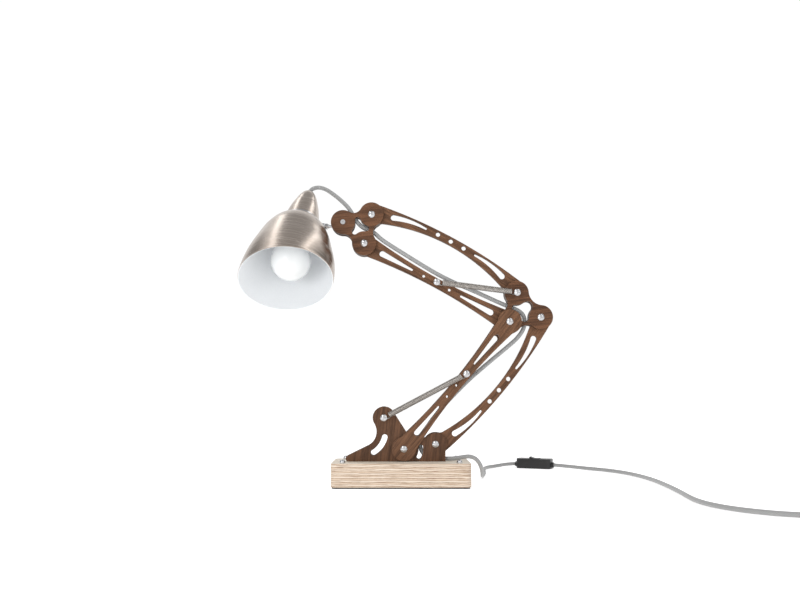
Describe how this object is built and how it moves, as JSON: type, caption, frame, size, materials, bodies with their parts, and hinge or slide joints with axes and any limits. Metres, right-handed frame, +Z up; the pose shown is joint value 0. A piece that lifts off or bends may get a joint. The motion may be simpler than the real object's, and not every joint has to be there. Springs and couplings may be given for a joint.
{
  "type": "balanced-arm desk lamp",
  "caption": "Desk lamp with a swinging double-link wooden arm, balance springs, a tilting metal shade, a block base and a mains lead with a switch.",
  "frame": {"origin": "centre of the base's underside, where it rests", "axes": "+X from the shade's side to the elbow's side, +Y away from the side with the springs, +Z up"},
  "size_m": [0.9388, 0.6808, 0.463],
  "materials": {
    "walnut": "oiled walnut plywood with laser-cut dark edges",
    "plywood": "birch plywood, its plies open on the edges",
    "felt": "black felt",
    "steel": "bright plated steel",
    "shade_metal": "brushed and lacquered outside, white inside",
    "black_plastic": "black, satin",
    "bulb_glass": "opal white",
    "bulb_metal": "bright",
    "braid": "grey and white textile braid"
  },
  "bodies": {
    "base": {"base_lower_slab": "plywood", "base_upper_slab": "plywood", "ballast_plate": "steel", "felt_pad": "felt", "base_bolts": "steel", "foot_plate_near": "walnut", "foot_plate_far": "walnut", "foot_pivot_screws": "steel", "foot_washers": "steel", "foot_spacers": "steel", "post_spring_screw": "steel", "lower_spring": "steel", "cord_at_foot": "braid", "cord_to_switch": "braid", "cord_to_coil": "braid", "cord_to_plug": "braid", "cord_coil": "braid", "switch_lower_shell": "black_plastic", "switch_upper_shell": "black_plastic", "switch_bush_left": "black_plastic", "switch_bush_right": "black_plastic", "plug_body": "black_plastic", "plug_relief": "black_plastic", "plug_pins": "bulb_metal"},
    "lower_arm": {"front_link_near": "walnut", "front_link_far": "walnut", "link_spring_screw": "steel", "cord_in_lower_arm": "braid"},
    "rear_link": {"rear_link": "walnut"},
    "elbow": {"elbow_plate_near": "walnut", "elbow_plate_far": "walnut", "elbow_screws": "steel", "elbow_washers": "steel", "elbow_spring_screw": "steel", "cord_at_elbow": "braid"},
    "forearm": {"forearm_link": "walnut", "forearm_spring_screw": "steel", "upper_spring": "steel", "cord_on_forearm": "braid"},
    "upper_arm": {"upper_arm": "walnut"},
    "head": {"head_plate_near": "walnut", "head_plate_far": "walnut", "head_screws": "steel", "head_washers": "steel", "head_pivot_bolt": "steel", "head_block": "walnut", "cord_at_head": "braid"},
    "stem": {"stem": "steel", "knuckle_screw": "steel", "cord_at_neck": "braid"},
    "shade": {"shade": "shade_metal", "shade_cap": "shade_metal", "cord_gland": "black_plastic", "lamp_holder": "black_plastic", "holder_nut": "bulb_metal", "bulb_globe": "bulb_glass", "bulb_base": "bulb_metal", "shade_bracket": "steel", "cord_at_cap": "braid"},
    "rocker": {"switch_rocker": "black_plastic"}
  },
  "joints": [
    {"name": "lower_arm_swing", "type": "hinge", "parent": "base", "child": "lower_arm", "pos_m": [0.0042, 0, 0.05475], "axis": [0, 1, 0], "range_deg": [-35, 20], "deforming": ["lower_spring", "cord_at_foot"]},
    {"name": "rear_link_swing", "type": "hinge", "parent": "base", "child": "rear_link", "pos_m": [0.0513, 0, 0.06165], "axis": [0, 1, 0], "range_deg": [-35, 20]},
    {"name": "elbow_level", "type": "hinge", "parent": "lower_arm", "child": "elbow", "pos_m": [0.16134, 0, 0.24402], "axis": [0, 1, 0], "range_deg": [-20, 35], "deforming": ["cord_in_lower_arm"]},
    {"name": "forearm_swing", "type": "hinge", "parent": "elbow", "child": "forearm", "pos_m": [0.16134, 0, 0.24402], "axis": [0, 1, 0], "range_deg": [-25, 25], "deforming": ["upper_spring", "cord_at_elbow"]},
    {"name": "upper_arm_swing", "type": "hinge", "parent": "elbow", "child": "upper_arm", "pos_m": [0.17234, 0, 0.28702], "axis": [0, 1, 0], "range_deg": [-25, 25]},
    {"name": "head_level", "type": "hinge", "parent": "forearm", "child": "head", "pos_m": [-0.05506, 0, 0.36103], "axis": [0, 1, 0], "range_deg": [-25, 25], "deforming": ["cord_on_forearm", "cord_at_head"]},
    {"name": "stem_swivel", "type": "hinge", "parent": "head", "child": "stem", "pos_m": [-0.11696, 0, 0.38753], "axis": [1, 0, 0], "range_deg": [-35, 90], "deforming": ["cord_at_neck"]},
    {"name": "shade_tilt", "type": "hinge", "parent": "stem", "child": "shade", "pos_m": [-0.11696, 0, 0.38753], "axis": [0, 0.7716, -0.6361], "range_deg": [-25, 30], "deforming": ["cord_at_cap"]},
    {"name": "rocker_press", "type": "hinge", "parent": "base", "child": "rocker", "pos_m": [0.247, 0.3, 0.0154], "axis": [0.4226, 0.9063, 0], "range_deg": [-14, 0]}
  ],
  "couplings": [
    {"joint": "rear_link_swing", "follows": "lower_arm_swing", "ratio": 1},
    {"joint": "elbow_level", "follows": "lower_arm_swing", "ratio": -1},
    {"joint": "upper_arm_swing", "follows": "forearm_swing", "ratio": 1},
    {"joint": "head_level", "follows": "forearm_swing", "ratio": -1}
  ]
}
